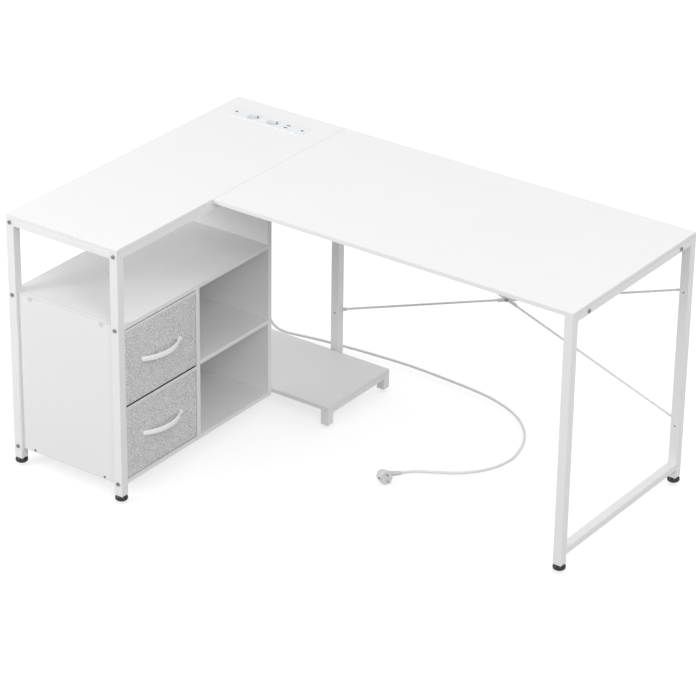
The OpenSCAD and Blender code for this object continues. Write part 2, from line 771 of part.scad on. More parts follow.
short_top();
long_top();
leg_front_left();
leg_front_inner();
leg_back_left();
leg_back_inner();
leg_right_front();
leg_right_back();
front_end_rail();
back_end_rail();
outer_side_rail();
inner_side_rail();
long_front_rail();
long_back_rail();
right_end_rail();
right_bottom_bar();
frame_bolts();
brace_rising();
brace_falling();
brace_bolts();
end_panel();
far_panel();
divider();
bottom_board();
mid_shelf();
compartment_shelf();
drawer_shelf();
back_panel();
panel_screws();
panel_caps();
upper_drawer_box();
upper_drawer_front();
upper_drawer_handle();
upper_handle_screws();
lower_drawer_box();
lower_drawer_front();
lower_drawer_handle();
lower_handle_screws();
stand_board();
stand_right_front_leg();
stand_right_back_leg();
stand_right_rail();
stand_left_front_leg();
stand_left_back_leg();
stand_left_rail();
foot_front_left();
foot_front_inner();
foot_back_left();
foot_back_inner();
foot_right_front();
foot_right_back();
leg_inserts();
strip_cover();
left_socket();
right_socket();
charging_ports();
strip_housing();
strip_contacts();
strip_screws();
strip_gland();
cord();
plug_body();
plug_pins();
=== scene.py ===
"""Looks of the corner desk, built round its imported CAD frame.

Shapes are in millimetres from the desk's outer front left corner, and at() turns them into the row frame's
metres. The camera, the lights and the floor are in metres.
"""
import json
import math

import bmesh
import bpy
from mathutils import Matrix, Vector, noise


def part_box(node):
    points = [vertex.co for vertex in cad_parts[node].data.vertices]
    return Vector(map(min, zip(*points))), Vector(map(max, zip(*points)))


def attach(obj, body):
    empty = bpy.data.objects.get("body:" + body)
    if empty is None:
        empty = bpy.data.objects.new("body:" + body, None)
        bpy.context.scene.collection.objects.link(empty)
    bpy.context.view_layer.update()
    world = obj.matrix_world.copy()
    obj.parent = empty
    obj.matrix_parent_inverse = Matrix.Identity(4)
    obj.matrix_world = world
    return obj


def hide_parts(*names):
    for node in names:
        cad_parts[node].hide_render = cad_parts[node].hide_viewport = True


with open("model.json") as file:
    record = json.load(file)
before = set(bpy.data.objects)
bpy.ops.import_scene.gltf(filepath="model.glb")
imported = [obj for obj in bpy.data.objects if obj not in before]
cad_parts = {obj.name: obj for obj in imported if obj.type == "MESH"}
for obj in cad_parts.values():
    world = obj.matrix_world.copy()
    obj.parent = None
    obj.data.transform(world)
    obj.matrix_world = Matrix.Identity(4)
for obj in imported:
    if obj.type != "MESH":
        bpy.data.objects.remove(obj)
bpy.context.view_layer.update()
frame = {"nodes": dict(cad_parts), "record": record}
scene = bpy.context.scene
MM = 0.001
CORNER = Vector((-0.750, -0.502, 0.0))
OUTWARD = Vector((1, 0, 0))  # the way that the drawers face and slide


def at(x, y, z):
    """A point given in millimetres from the desk's corner."""
    return CORNER + Vector((x, y, z)) * MM


def box_in_mm(node):
    """The low and the high corner of a CAD node's box, in millimetres from the desk's corner."""
    return [[round((value - start) / MM, 2) for value, start in zip(corner, CORNER)]
            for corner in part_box(node)]


def middle(low, high):
    return (low + high) / 2


# ---------------------------------------------------------------- camera
CAMERA_PLACE = (4.40401, -6.19808, 4.27070)
CAMERA_YAW, CAMERA_PITCH, CAMERA_ROLL = 35.37, 27.181, 0.814  # degrees; the pitch is below the horizon
CAMERA_LENS, CAMERA_SENSOR = 165.2, 36.0  # millimetres


def build_camera():
    camera = bpy.data.objects.new("camera", bpy.data.cameras.new("camera"))
    scene.collection.objects.link(camera)
    scene.camera = camera
    camera.location = CAMERA_PLACE
    camera.rotation_mode = "QUATERNION"
    turn = Matrix.Rotation(math.radians(CAMERA_YAW), 3, "Z")
    tip = Matrix.Rotation(math.radians(90 - CAMERA_PITCH), 3, "X")
    roll = Matrix.Rotation(math.radians(CAMERA_ROLL), 3, "Z")
    camera.rotation_quaternion = (turn @ tip @ roll).to_quaternion()
    camera.data.sensor_width = CAMERA_SENSOR
    camera.data.lens = CAMERA_LENS
    camera.data.clip_start, camera.data.clip_end = 0.1, 100.0


build_camera()


# ---------------------------------------------------------------- materials
class Nodes:
    """A material's node tree with short ways to add what this scene uses."""

    def __init__(self, name, colour, roughness, metallic=0.0, **sockets):
        self.material = bpy.data.materials.new(name)
        self.material.use_nodes = True
        self.tree = self.material.node_tree
        self.shader = self.tree.nodes["Principled BSDF"]
        self.shader.inputs["Base Color"].default_value = (*colour, 1.0)
        self.shader.inputs["Roughness"].default_value = roughness
        self.shader.inputs["Metallic"].default_value = metallic
        for socket, value in sockets.items():
            self.shader.inputs[socket.replace("_", " ")].default_value = value
        self.material.diffuse_color = (*colour, 1.0)
        self.place = self.add("ShaderNodeTexCoord").outputs["Object"]

    def add(self, kind, **values):
        node = self.tree.nodes.new(kind)
        for key, value in values.items():
            setattr(node, key, value)
        return node

    def wire(self, value, socket):
        """Joins an output to a socket, or sets the socket to a constant."""
        if isinstance(value, bpy.types.NodeSocket):
            self.tree.links.new(value, socket)
        else:
            socket.default_value = value

    def stretched(self, scale):
        node = self.add("ShaderNodeMapping")
        self.wire(self.place, node.inputs["Vector"])
        node.inputs["Scale"].default_value = scale
        return node.outputs["Vector"]

    def noise(self, scale, detail=2.0, roughness=0.5, stretch=(1, 1, 1)):
        """Noise of scale cells a metre, from 0 to 1 round 0.5."""
        node = self.add("ShaderNodeTexNoise")
        self.wire(self.stretched([scale * s for s in stretch]), node.inputs["Vector"])
        node.inputs["Scale"].default_value = 1.0
        node.inputs["Detail"].default_value = detail
        node.inputs["Roughness"].default_value = roughness
        return node.outputs["Fac"]

    def math(self, kind, a, b=0.0):
        node = self.add("ShaderNodeMath", operation=kind)
        for value, socket in zip((a, b), node.inputs):
            self.wire(value, socket)
        return node.outputs[0]

    def fit(self, value, low, high, to_low=0.0, to_high=1.0, smooth=False):
        """Maps low to high onto to_low to to_high, and stays within them."""
        node = self.add("ShaderNodeMapRange")
        node.interpolation_type = "SMOOTHSTEP" if smooth else "LINEAR"
        names = ("Value", "From Min", "From Max", "To Min", "To Max")
        for v, name in zip((value, low, high, to_low, to_high), names):
            self.wire(v, node.inputs[name])
        return node.outputs["Result"]

    def mix(self, factor, a, b):
        node = self.add("ShaderNodeMix", data_type="RGBA")
        self.wire(factor, node.inputs["Factor"])
        for value, name in ((a, "A_Color"), (b, "B_Color")):
            socket = next(s for s in node.inputs if s.identifier == name)
            self.wire((*value, 1.0) if isinstance(value, tuple) else value, socket)
        return next(s for s in node.outputs if s.identifier == "Result_Color")

    def colour(self, value):
        self.wire(value, self.shader.inputs["Base Color"])

    def roughness(self, value):
        self.wire(value, self.shader.inputs["Roughness"])

    def bump(self, height, distance, strength):
        node = self.add("ShaderNodeBump")
        node.inputs["Strength"].default_value = strength
        node.inputs["Distance"].default_value = distance
        self.wire(height, node.inputs["Height"])
        self.wire(node.outputs["Normal"], self.shader.inputs["Normal"])

    def axes(self):
        node = self.add("ShaderNodeSeparateXYZ")
        self.wire(self.place, node.inputs[0])
        return node.outputs


def tint(colour, amount):
    return tuple(c * amount for c in colour)


def grey(level, blue=0.0):
    """A grey whose blue is a little above or below its red and green."""
    return (level, level, level + blue)


JOINT_INSET = 1.1 * MM  # a board's edge band meets its face this far in from the rim
JOINT_CORE, JOINT_FADE = 0.25 * MM, 0.8 * MM  # the joint line's dark half width, and where it has faded out


def edge_joint(n, low, high, flat_axes):
    """How strongly the joint line shows at a point of a board whose broad face lies along flat_axes."""
    axes = n.axes()
    gaps = []
    for i in flat_axes:
        gaps.append(n.math("SUBTRACT", axes[i], low[i]))
        gaps.append(n.math("SUBTRACT", high[i], axes[i]))
    rim = gaps[0]
    for gap in gaps[1:]:
        rim = n.math("MINIMUM", rim, gap)
    line = n.math("ABSOLUTE", n.math("SUBTRACT", rim, JOINT_INSET))
    return n.fit(line, JOINT_CORE, JOINT_FADE, 0.65, 0.0, smooth=True)


def laminate(name, colour, low=None, high=None, flat_axes=(0, 1)):
    """Matt white laminate with a fine grain. With a board's box given, its edge band's joint shows."""
    n = Nodes(name, colour, 0.5, Specular_IOR_Level=0.12)
    cloud = n.noise(6.0, 3.0)
    grain = n.noise(900.0, 2.0, 0.6)
    shade = n.mix(n.fit(cloud, 0.3, 0.7), tint(colour, 0.985), colour)
    shade = n.mix(n.fit(grain, 0.35, 0.65, 0.0, 0.35), shade, tint(colour, 0.97))
    if low is not None:
        shade = n.mix(edge_joint(n, low, high, flat_axes), shade, tint(colour, 0.72))
    n.colour(shade)
    n.roughness(n.fit(n.noise(40.0, 3.0), 0.3, 0.7, 0.46, 0.56))
    n.bump(grain, 0.02 * MM, 0.35)
    return n.material


def powder_coat(name, colour):
    """Powder-coated steel with a fine orange-peel skin."""
    n = Nodes(name, colour, 0.36, Coat_Weight=0.15, Coat_Roughness=0.25)
    peel = n.noise(1400.0, 2.0, 0.45)
    wide = n.noise(9.0, 2.0)
    n.colour(n.mix(n.fit(wide, 0.3, 0.7), tint(colour, 0.98), colour))
    n.roughness(n.fit(peel, 0.3, 0.7, 0.32, 0.42))
    n.bump(peel, 0.05 * MM, 0.4)
    return n.material


def plastic(name, colour, roughness, peel_scale=1800.0, depth=0.3, **sockets):
    n = Nodes(name, colour, roughness, **sockets)
    peel = n.noise(peel_scale, 2.0)
    n.colour(n.mix(n.fit(n.noise(30.0, 2.0), 0.3, 0.7), tint(colour, 0.965), colour))
    n.roughness(n.fit(n.noise(120.0, 2.0), 0.3, 0.7, roughness * 0.88, roughness * 1.12))
    n.bump(peel, 0.03 * MM, depth)
    return n.material


def metal(name, colour, roughness, dark=0.75):
    n = Nodes(name, colour, roughness, metallic=1.0)
    n.colour(n.mix(n.fit(n.noise(260.0, 3.0), 0.35, 0.7), tint(colour, dark), colour))
    n.roughness(n.fit(n.noise(420.0, 3.0), 0.3, 0.7, roughness * 0.8, roughness * 1.25))
    n.bump(n.noise(1500.0, 2.0), 0.02 * MM, 0.3)
    return n.material


THREAD = 0.95 * MM  # pitch of the drawer cloth's threads
YARN_SHARE, SPECK_SHARE, CLOUD_SHARE = 0.38, 0.46, 0.08  # what each noise gives to the heather
HEATHER_SPREAD = 0.085


def weave(name, light, dark, across=(1, 2), slub=1.0):
    """Heather cloth in plain weave. across gives the axes that its threads run along, slub its speckle."""
    n = Nodes(name, light, 0.85, Sheen_Weight=0.25, Sheen_Roughness=0.5, Specular_IOR_Level=0.25)
    yarns = []
    for axis in across:
        stretch = [1.0, 1.0, 1.0]
        stretch[axis] = 0.3
        yarns.append(n.noise(640.0, 1.0, 0.6, stretch))
    speck = n.noise(360.0, 1.0, 0.5)
    cloud = n.noise(34.0, 3.0, 0.6)
    mixed = n.math("ADD", n.math("MULTIPLY", yarns[0], YARN_SHARE), n.math("MULTIPLY", yarns[1], YARN_SHARE))
    mixed = n.math("ADD", mixed, n.math("MULTIPLY", speck, SPECK_SHARE * slub))
    mixed = n.math("ADD", mixed, n.math("MULTIPLY", cloud, CLOUD_SHARE))
    even = 0.5 * (2 * YARN_SHARE + SPECK_SHARE * slub + CLOUD_SHARE)
    shade = n.mix(n.fit(mixed, even - HEATHER_SPREAD, even + HEATHER_SPREAD), dark, light)
    axes = n.axes()
    ribs = [n.math("SINE", n.math("MULTIPLY", axes[axis], 2 * math.pi / THREAD)) for axis in across]
    check = n.math("MULTIPLY", ribs[0], ribs[1])
    height = n.math("ADD", n.math("MULTIPLY", check, 0.5), n.math("MULTIPLY", mixed, 1.2))
    n.colour(n.mix(n.fit(check, -1.0, 1.0, 0.22, 0.0), shade, tint(dark, 0.75)))
    n.roughness(n.fit(mixed, 0.5, 0.8, 0.92, 0.8))
    n.bump(height, 0.22 * MM, 0.7)
    return n.material


BOARD_WHITE, TOP_WHITE = grey(0.87), grey(0.88)
skin = {
    "frame": powder_coat("powder_coat_white", grey(0.86)),
    "brace": powder_coat("powder_coat_brace", grey(0.83)),
    "back_sheet": laminate("hardboard_white", grey(0.82)),
    "bright_screw": metal("zinc_screw", grey(0.72, 0.02), 0.32),
    "dark_bolt": metal("dull_steel_bolt", grey(0.36, 0.01), 0.4, 0.55),
    "cap": plastic("cap_plastic", grey(0.70, -0.01), 0.45),
    "foot": plastic("foot_plastic", grey(0.012, 0.001), 0.28, 900.0, 0.4),
    "insert": plastic("insert_plastic", grey(0.03), 0.5),
    "strip": plastic("strip_plastic", (0.85, 0.875, 0.905), 0.22, 2200.0, 0.12,
                     Coat_Weight=0.3, Coat_Roughness=0.08),
    "contact": metal("contact_nickel_brass", (0.62, 0.58, 0.48), 0.35),
    "gland": plastic("gland_plastic", grey(0.80), 0.5),
    "cord": plastic("cord_vinyl", grey(0.86, 0.005), 0.42, 700.0, 0.35),
    "plug": plastic("plug_plastic", grey(0.78), 0.38, 1200.0, 0.3),
    "pin": metal("pin_nickel", (0.74, 0.73, 0.70), 0.25),
    "handle": plastic("handle_paint", grey(0.98), 0.3, 1500.0, 0.2, Coat_Weight=0.3, Coat_Roughness=0.15),
    "drawer_front_cloth": weave("front_weave", grey(0.98, 0.005), grey(0.50, 0.005)),
    "drawer_cloth": weave("side_weave", grey(0.60, 0.005), grey(0.40, 0.005), (0, 2), 0.7),
    "hem": weave("hem_weave", grey(0.92, 0.005), grey(0.74, 0.005), (1, 2), 0.4),
    # painted shade: the black cloth on the drawer fronts' top edges stands in for the shade in the gaps
    # above them
    "painted_gap_shade": weave("painted_gap_shade_weave", grey(0.05, 0.002), grey(0.02, 0.001), (1, 0), 0.5),
    "thread": plastic("seam_thread", grey(0.58, 0.005), 0.7),
    # painted shade: a black material for sheets that stand in for the shade inside the plug's earth notches
    # and the charging ports
    "shadow": plastic("painted_shade_black", grey(0.02, 0.002), 0.5),
    "port_tongue": plastic("port_tongue", (0.75, 0.77, 0.80), 0.35),
}

# how wide each slot's edges are softened, in millimetres; the other slots' edges stay sharp
BEVELS = {"frame": 1.4, "brace": 0.5, "strip": 0.35, "foot": 0.8, "dark_bolt": 0.4, "bright_screw": 0.3,
          "gland": 0.4, "cap": 0.3}
BOARD_BEVEL, FLUSH_BEVEL = 0.7, 0.08
FLUSH_NODES = ("left_socket", "right_socket", "charging_ports")  # let in flush with the strip's cover
UPRIGHT_BOARDS = ("end_panel", "far_panel", "divider")  # their broad face lies along X and Z
FLAT_WITHIN, SHARP_FROM = 0.5, 40  # degrees between faces: joined as one flat face, and softened as an edge


def dress(node, look, bevel):
    """Gives a CAD node its material and softens its edges."""
    piece = frame["nodes"][node]
    piece.data.materials.clear()
    piece.data.materials.append(look)
    if bevel:
        weld = piece.modifiers.new("weld", "WELD")
        weld.merge_threshold = 1e-6
        flat = piece.modifiers.new("flat_faces", "DECIMATE")
        flat.decimate_type, flat.angle_limit = "DISSOLVE", math.radians(FLAT_WITHIN)
        soft = piece.modifiers.new("bevel", "BEVEL")
        soft.width, soft.segments = bevel * MM, 2
        soft.limit_method, soft.angle_limit = "ANGLE", math.radians(SHARP_FROM)


def dress_cad_nodes():
    slots = {part["node"]: part["material_slot"] for part in frame["record"]["subparts"]}
    for node in frame["nodes"]:
        slot = slots[node]
        if slot in ("top_board", "board"):
            low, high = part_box(node)
            colour = TOP_WHITE if slot == "top_board" else BOARD_WHITE
            flat_axes = (0, 2) if node in UPRIGHT_BOARDS else (0, 1)
            dress(node, laminate("laminate_" + node, colour, low, high, flat_axes), BOARD_BEVEL)
        else:
            dress(node, skin[slot], FLUSH_BEVEL if node in FLUSH_NODES else BEVELS.get(slot, 0.0))


dress_cad_nodes()


# ---------------------------------------------------------------- mesh helpers
def mesh_piece(name, points, faces, look, body, slot, auto=35):
    """A piece of the visual model. Its edges are sharp where they turn by more than auto degrees."""
    mesh = bpy.data.meshes.new(name)
    mesh.from_pydata([tuple(p) for p in points], [], faces)
    made = bmesh.new()
    made.from_mesh(mesh)
    bmesh.ops.remove_doubles(made, verts=made.verts, dist=1e-7)
    bmesh.ops.recalc_face_normals(made, faces=made.faces)
    for edge in made.edges:
        if len(edge.link_faces) == 2 and edge.calc_face_angle(0.0) > math.radians(auto):
            edge.smooth = False
    for face in made.faces:
        face.smooth = True
    made.to_mesh(mesh)
    made.free()
    piece = bpy.data.objects.new(name, mesh)
    scene.collection.objects.link(piece)
    piece.data.materials.append(look)
    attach(piece, body)
    return piece


def loft(rings, closed_ends=True):
    """Points and faces of a skin through rings that all have the same count of points."""
    count = len(rings[0])
    points = [p for ring in rings for p in ring]
    faces = []
    for i in range(len(rings) - 1):
        for k in range(count):
            a, b = i * count + k, i * count + (k + 1) % count
            faces.append((a, b, b + count, a + count))
    if closed_ends:
        faces.append(tuple(range(count))[::-1])
        faces.append(tuple(range((len(rings) - 1) * count, len(rings) * count)))
    return points, faces


def joined(parts):
    """Several skins as one."""
    points, faces = [], []
    for some_points, some_faces in parts:
        start = len(points)
        points += some_points
        faces += [tuple(start + i for i in f) for f in some_faces]
    return points, faces


def rounded_outline(width, height, corner, steps=5):
    """A rounded rectangle round the origin, as (u, v) pairs going round once."""
    outline = []
    for cu, cv, begin in ((1, 1, 0), (-1, 1, 90), (-1, -1, 180), (1, -1, 270)):
        for k in range(steps + 1):
            angle = math.radians(begin + 90 * k / steps)
            outline.append((cu * (width / 2 - corner) + corner * math.cos(angle),
                            cv * (height / 2 - corner) + corner * math.sin(angle)))
    return outline


def turned_ring(place, x, radius, segments):
    """A circle round the X axis of place, a 4x4 matrix, at the distance x along it."""
    angles = [2 * math.pi * k / segments for k in range(segments)]
    return [place @ Vector((x, radius * math.cos(a), radius * math.sin(a))) for a in angles]


def revolved(profile, place, segments):
    """A turned solid: profile is (distance along X, radius) pairs and place is a 4x4 matrix."""
    return loft([turned_ring(place, x, radius, segments) for x, radius in profile])


def ribbed(start, direction, length, r_from, r_to, ribs, wide):
    """A tapered strain relief with grooves, each wide across, cut round it."""
    profile = [(0.0, r_from)]
    for i in range(ribs):
        groove = (0.32 + 0.62 * i / ribs) * length
        for into, cut in ((0, -0.2), (0.7, 1.5), (wide - 0.7, 1.5), (wide, -0.2)):
            x = groove + into
            profile.append((x, r_from + (r_to - r_from) * x / length - cut))
    profile += [(length - 1.2, r_to + 0.1), (length - 0.3, r_to - 0.3), (length, r_to - 0.9)]
    turned = OUTWARD.rotation_difference(direction).to_matrix().to_4x4()
    return revolved(profile, Matrix.Translation(start) @ turned @ Matrix.Scale(MM, 4), 40)


# ---------------------------------------------------------------- drawers
FACE_ROUND = 2.6  # how far the front's edge rounds in before its face begins
FACE_COLUMNS, FACE_ROWS = 44, 34
FACE_SWELL, FACE_WAVE, FACE_FADE = 0.25, 0.22, 14.0  # padding, depth of the waves, and their fade at the rim
HEM_DROP, HEM_STEPS = 11.0, 40
HEM_TOP_GAP = 0.1  # the hem's section starts this far below the front's top
GAP_SHADE_STEPS = 12
HANDLE_OUT, HANDLE_THICK, HANDLE_TALL, HANDLE_STEPS = 29.0, 5.0, 15.0, 40
HANDLE_FOOT_WIDE, HANDLE_FOOT_TALL = 13.0, 9.6
BOX_WALL, BOX_FLOOR, BOX_GAP = 4.0, 5.0, 0.2  # the gap keeps the cloth box off the front's back
BOX_BOW = 0.7


class Drawer:
    """Where one drawer's parts are, from its CAD nodes. seed sets its cloth's waves."""

    def __init__(self, name, seed):
        self.name, self.seed = name, seed
        self.body = name + "_drawer"
        front_low, front_high = box_in_mm(self.body + "_front")
        (back, self.low_y, self.low_z), (self.face, self.high_y, self.high_z) = front_low, front_high
        self.depth = self.face - back
        self.width, self.height = self.high_y - self.low_y, self.high_z - self.low_z
        self.mid_y, self.mid_z = middle(self.low_y, self.high_y), middle(self.low_z, self.high_z)
        self.box_low, self.box_high = box_in_mm(self.body + "_box")
        self.box_high[0] -= BOX_GAP
        handle_low, handle_high = box_in_mm(self.body + "_handle")
        self.handle_y, self.handle_z = (middle(handle_low[i], handle_high[i]) for i in (1, 2))
        self.handle_span = handle_high[1] - handle_low[1]


def padded_front(drawer):
    """The cloth-covered front board: softly rounded edges and a face that is not quite flat."""
    rings = []
    # the skin goes from the board's back, round its edge and in over its face
    edge = ((-drawer.depth, 0.6), (-drawer.depth + 0.5, 0.0), (-2.4, 0.0), (-1.2, 0.35), (-0.4, 1.2),
            (0.0, FACE_ROUND))
    for x, inset in edge:
        outline = rounded_outline(drawer.width - 2 * inset, drawer.height - 2 * inset, 3.0)
        rings.append([at(drawer.face + x, drawer.mid_y + u, drawer.mid_z + v) for u, v in outline])
    points, faces = loft(rings, closed_ends=False)
    faces.append(tuple(range(len(rings[0])))[::-1])
    # a grid fills the face, so that the cloth's slight waves are real
    start = len(points)
    half_w, half_h = drawer.width / 2 - FACE_ROUND, drawer.height / 2 - FACE_ROUND
    for j in range(FACE_ROWS + 1):
        for i in range(FACE_COLUMNS + 1):
            u = -half_w + 2 * half_w * i / FACE_COLUMNS
            v = -half_h + 2 * half_h * j / FACE_ROWS
            rim = min(1.0, min(half_w - abs(u), half_h - abs(v)) / FACE_FADE)
            wave = FACE_WAVE * noise.noise(Vector((u / 38.0, v / 46.0, drawer.seed)))
            swell = FACE_SWELL * rim + rim * wave
            points.append(at(drawer.face + swell, drawer.mid_y + u, drawer.mid_z + v))
    for j in range(FACE_ROWS):
        for i in range(FACE_COLUMNS):
            a = start + j * (FACE_COLUMNS + 1) + i
            faces.append((a, a + 1, a + FACE_COLUMNS + 2, a + FACE_COLUMNS + 1))
    return points, faces


def strip_skin(section, path):
    """A strip of cloth: (outward, up) pairs swept over path, which gives (point, outward direction)."""
    rings = []
    for point, outward in path:
        rings.append([point + outward * (o * MM) + Vector((0, 0, v * MM)) for o, v in section])
    return loft(rings)


def front_hem(drawer):
    """The hem folded over the front's top edge, swaying a little along its length."""
    depth = drawer.depth
    section = [(-depth - 0.4, -HEM_DROP), (-depth - 0.5, -1.0), (-depth + 0.4, 0.25), (-1.2, 0.35),
               (0.35, -0.5), (0.85, -2.0), (0.9, -HEM_DROP + 0.8), (0.55, -HEM_DROP), (0.0, -HEM_DROP),
               (-0.6, -HEM_DROP + 0.4), (-1.0, -1.6), (-2.4, -0.6), (-depth + 1.4, -0.6), (-depth, -1.6)]
    overhang = 0.35
    path = []
    for i in range(HEM_STEPS + 1):
        y = drawer.low_y - overhang + (drawer.width + 2 * overhang) * i / HEM_STEPS
        sway = 0.18 * noise.noise(Vector((y / 22.0, drawer.seed, 0.5)))
        z = drawer.high_z - HEM_TOP_GAP + sway * 0.3
        path.append((at(drawer.face, y, z), OUTWARD * (1 + sway * 0.2)))
    return strip_skin(section, path)


def stitches(begin, end, outward, pitch=3.6, length=2.5, radius=0.28):
    """A row of sewn stitches along a straight line, each a small bowed thread."""
    run = end - begin
    along = run.normalized()
    side = along.cross(outward).normalized()
    count = int(run.length / (pitch * MM))
    parts = []
    for i in range(count):
        centre = begin + run * ((i + 0.5) / count)
        rings = []
        for k in range(5):
            t = k / 4
            lift = math.sin(math.pi * t) * radius * 0.9
            spot = centre + along * ((t - 0.5) * length * MM) + outward * (lift * MM)
            size = radius * (0.55 + 0.45 * math.sin(math.pi * t)) * MM
            rings.append([spot + side * (size * math.cos(a)) + outward * (size * math.sin(a))
                          for a in (2 * math.pi * s / 5 for s in range(5))])
        parts.append(loft(rings))
    return joined(parts)


def hem_stitches(drawer):
    """One row of stitches just above the hem's lower edge."""
    x, z = drawer.face + 0.95, drawer.high_z - HEM_TOP_GAP - (HEM_DROP - 2.0)
    return stitches(at(x, drawer.low_y + 2, z), at(x, drawer.high_y - 2, z), OUTWARD)


def top_painted_gap_shade(drawer):
    """A dark strip along the front's top edge: painted shade for the gap above the front."""
    depth = drawer.depth
    section = [(-depth + 0.2, 0.0), (-0.9, 0.0), (-0.4, 0.3), (-0.7, 0.7), (-depth + 0.6, 0.75),
               (-depth + 0.2, 0.5)]
    path = []
    for i in range(GAP_SHADE_STEPS + 1):
        y = drawer.low_y + 1 + (drawer.width - 2) * i / GAP_SHADE_STEPS
        path.append((at(drawer.face, y, drawer.high_z), OUTWARD))
    return strip_skin(section, path)


def cloth_box(drawer):
    """The drawer's box: cloth over thin stiff walls that bow a little, with a floor board."""
    (x0, y0, z0), (x1, y1, z1) = drawer.box_low, drawer.box_high
    mid_x, mid_y, width, depth, tall = middle(x0, x1), middle(y0, y1), x1 - x0, y1 - y0, z1 - z0

    def ring(inset, height, bow):
        """The wall's outline at one height, with its long sides split so that they can bow and wave."""
        outline = rounded_outline(width - 2 * inset, depth - 2 * inset, max(1.0, 3.0 - inset * 0.4), 6)
        dense = []
        for k, (u, v) in enumerate(outline):
            u2, v2 = outline[(k + 1) % len(outline)]
            length = math.hypot(u2 - u, v2 - v)
            splits = 12 if length > 50 else 1
            for s in range(splits):
                t = s / splits
                pu, pv = u + (u2 - u) * t, v + (v2 - v) * t
                if splits > 1:
                    pull = bow * math.sin(math.pi * t) * math.sin(math.pi * height / tall)
                    wave = 0.2 * noise.noise(Vector((pu / 40.0, pv / 40.0, height / 50.0 + drawer.seed)))
                    pu -= (v2 - v) / length * (pull - wave)
                    pv += (u2 - u) / length * (pull - wave)
                dense.append(at(mid_x + pu, mid_y + pv, z0 + height))
        return dense

    foot, lip = 4.0, 0.8  # how high the walls' rounding reaches at the bottom, and how deep at the top
    heights = [1.0, foot] + [foot + (tall - 2 * foot) * k / 10 for k in range(1, 11)] + [tall - lip]
    rings = [ring(1.2, 0.0, 0.0)]
    rings += [ring(0.0, height, BOX_BOW) for height in heights]
    rings += [ring(lip, tall, 0.0), ring(BOX_WALL - lip, tall, 0.0)]
    rings += [ring(BOX_WALL, max(height, BOX_FLOOR), 0.0) for height in reversed(heights[1:])]
    rings.append(ring(BOX_WALL + 0.5, BOX_FLOOR + 0.3, 0.0))
    return loft(rings)


def bow_handle(drawer):
    """The bowed handle: a flat bar on an arc, drawn in at its tips."""
    half = drawer.handle_span / 2
    bow = (half * half + HANDLE_OUT * HANDLE_OUT) / (2 * HANDLE_OUT)
    reach = math.asin(half / bow)
    rings = []
    for i in range(HANDLE_STEPS + 1):
        t = -1 + 2 * i / HANDLE_STEPS
        angle = reach * t
        close = min(1.0, (1 - abs(t)) / 0.035)
        round_off = math.sqrt(max(0.0, 1 - (1 - close) ** 2)) * 0.55 + 0.45
        thick = (HANDLE_THICK + 1.6 * abs(t) ** 3) * round_off
        tall = (HANDLE_TALL - 2.4 * abs(t) ** 4) * round_off
        radial = bow - thick / 2
        centre_x = drawer.face + HANDLE_OUT - bow + radial * math.cos(angle)
        centre_y = drawer.handle_y + radial * math.sin(angle)
        ring = []
        for u, v in rounded_outline(thick, tall, min(2.2, thick * 0.42, tall * 0.42), 4):
            x = max(drawer.face + 0.1, centre_x + u * math.cos(angle))
            ring.append(at(x, centre_y + u * math.sin(angle), drawer.handle_z + v))
        rings.append(ring)
    return loft(rings)


def handle_foot(drawer, side):
    """The block that one end of the handle stands on. side is -1 or 1 along Y."""
    mid_y = drawer.handle_y + side * (drawer.handle_span - HANDLE_FOOT_WIDE) / 2
    rings = []
    for x, grow in ((0.0, 0.0), (0.8, 0.5), (4.2, 0.0), (6.6, -1.2), (7.0, -2.4)):
        outline = rounded_outline(HANDLE_FOOT_WIDE + grow, HANDLE_FOOT_TALL + grow * 0.4, 3.0)
        rings.append([at(drawer.face + x, mid_y + u, drawer.handle_z + v) for u, v in outline])
    return loft(rings)


def build_drawer(drawer):
    name, body = drawer.name, drawer.body
    cloth = skin["drawer_front_cloth"]
    front = mesh_piece(name + "_front_cover", *padded_front(drawer), cloth, body, "drawer_front_cloth")
    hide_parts(name + "_drawer_front")
    mesh_piece(name + "_front_hem", *front_hem(drawer), skin["hem"], body, "drawer_front_cloth", 60)
    mesh_piece(name + "_front_stitches", *hem_stitches(drawer), skin["thread"], body, "drawer_front_cloth")
    # the dark strip on the front's top edge is painted shade for the gap above it
    gap_strip = top_painted_gap_shade(drawer)
    mesh_piece(name + "_front_painted_gap_shade", *gap_strip, skin["painted_gap_shade"], body, "drawer_front_cloth", 60)
    walls = cloth_box(drawer)
    tub = mesh_piece(name + "_drawer_tub", *walls, skin["drawer_cloth"], body, "drawer_cloth", 50)
    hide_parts(name + "_drawer_box")
    bar = joined([bow_handle(drawer), handle_foot(drawer, -1), handle_foot(drawer, 1)])
    grip = mesh_piece(name + "_bow_handle", *bar, skin["handle"], body, "handle", 50)
    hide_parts(name + "_drawer_handle")


build_drawer(Drawer("upper", 3.0))
build_drawer(Drawer("lower", 11.0))


# ---------------------------------------------------------------- cord
CORD_DIAMETER = 7.5
CORD_POINTS = [
    (85, 956, 700), (85, 968, 700), (85, 981, 700), (85, 996, 697), (85, 1009, 688), (85, 1018, 674),
    (85, 1021, 655), (85, 1022, 600), (84, 1023, 510), (82, 1026, 410), (80, 1029, 310), (77, 1033, 210),
    (74, 1037, 130), (73, 1041, 78), (79, 1045, 42), (97, 1050, 17), (126, 1057, 6), (174, 1068, 4),
    (230, 1078, 4), (290, 1086, 4), (350, 1092, 4), (410, 1097, 4), (490, 1102, 4), (566, 1103, 4),
    (630, 1100, 4), (690, 1096, 4), (752, 1091, 4), (812, 1083, 4), (862, 1071, 4), (908, 1054, 4),
    (950, 1032, 4), (988, 1003, 4), (1020, 969, 4), (1046, 929, 4), (1066, 880, 4), (1078, 820, 4),
    (1068, 757, 4), (1042, 706, 4), (1000, 662, 4), (950, 628, 5), (912, 597, 8.5), (887, 562, 11.2)]


